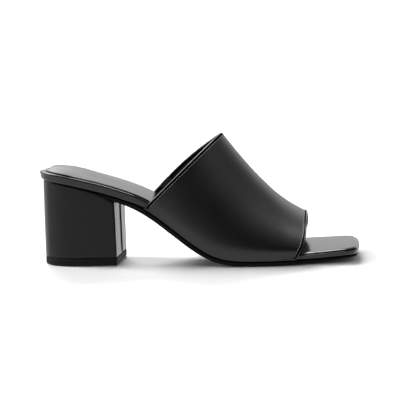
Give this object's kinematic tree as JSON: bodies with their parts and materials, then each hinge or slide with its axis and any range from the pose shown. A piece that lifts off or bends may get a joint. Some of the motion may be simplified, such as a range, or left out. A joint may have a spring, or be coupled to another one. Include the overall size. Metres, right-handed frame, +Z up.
{
  "type": "block-heel slide sandal",
  "caption": "Black backless block-heel slide sandal with one wide instep band, a square open toe, a wrapped footbed and a padded sock.",
  "frame": {"origin": "on the floor, under the middle of the shoe's length and width", "axes": "+X to the toe, +Y to the inner side of the foot, +Z up"},
  "size_m": [0.2398, 0.092, 0.0959],
  "materials": {
    "outsole": "matte brown-black",
    "footbed": "satin black wrap",
    "sock": "smooth glossy black",
    "upper": "satin black, fine grain",
    "elastic_gore": "matte ribbed elastic",
    "heel": "satin black cover",
    "top_lift": "matte black"
  },
  "bodies": {
    "root": {"outsole": "outsole", "footbed": "footbed", "sock": "sock", "upper": "upper", "elastic_gore": "elastic_gore", "heel": "heel", "top_lift": "top_lift"}
  },
  "joints": []
}
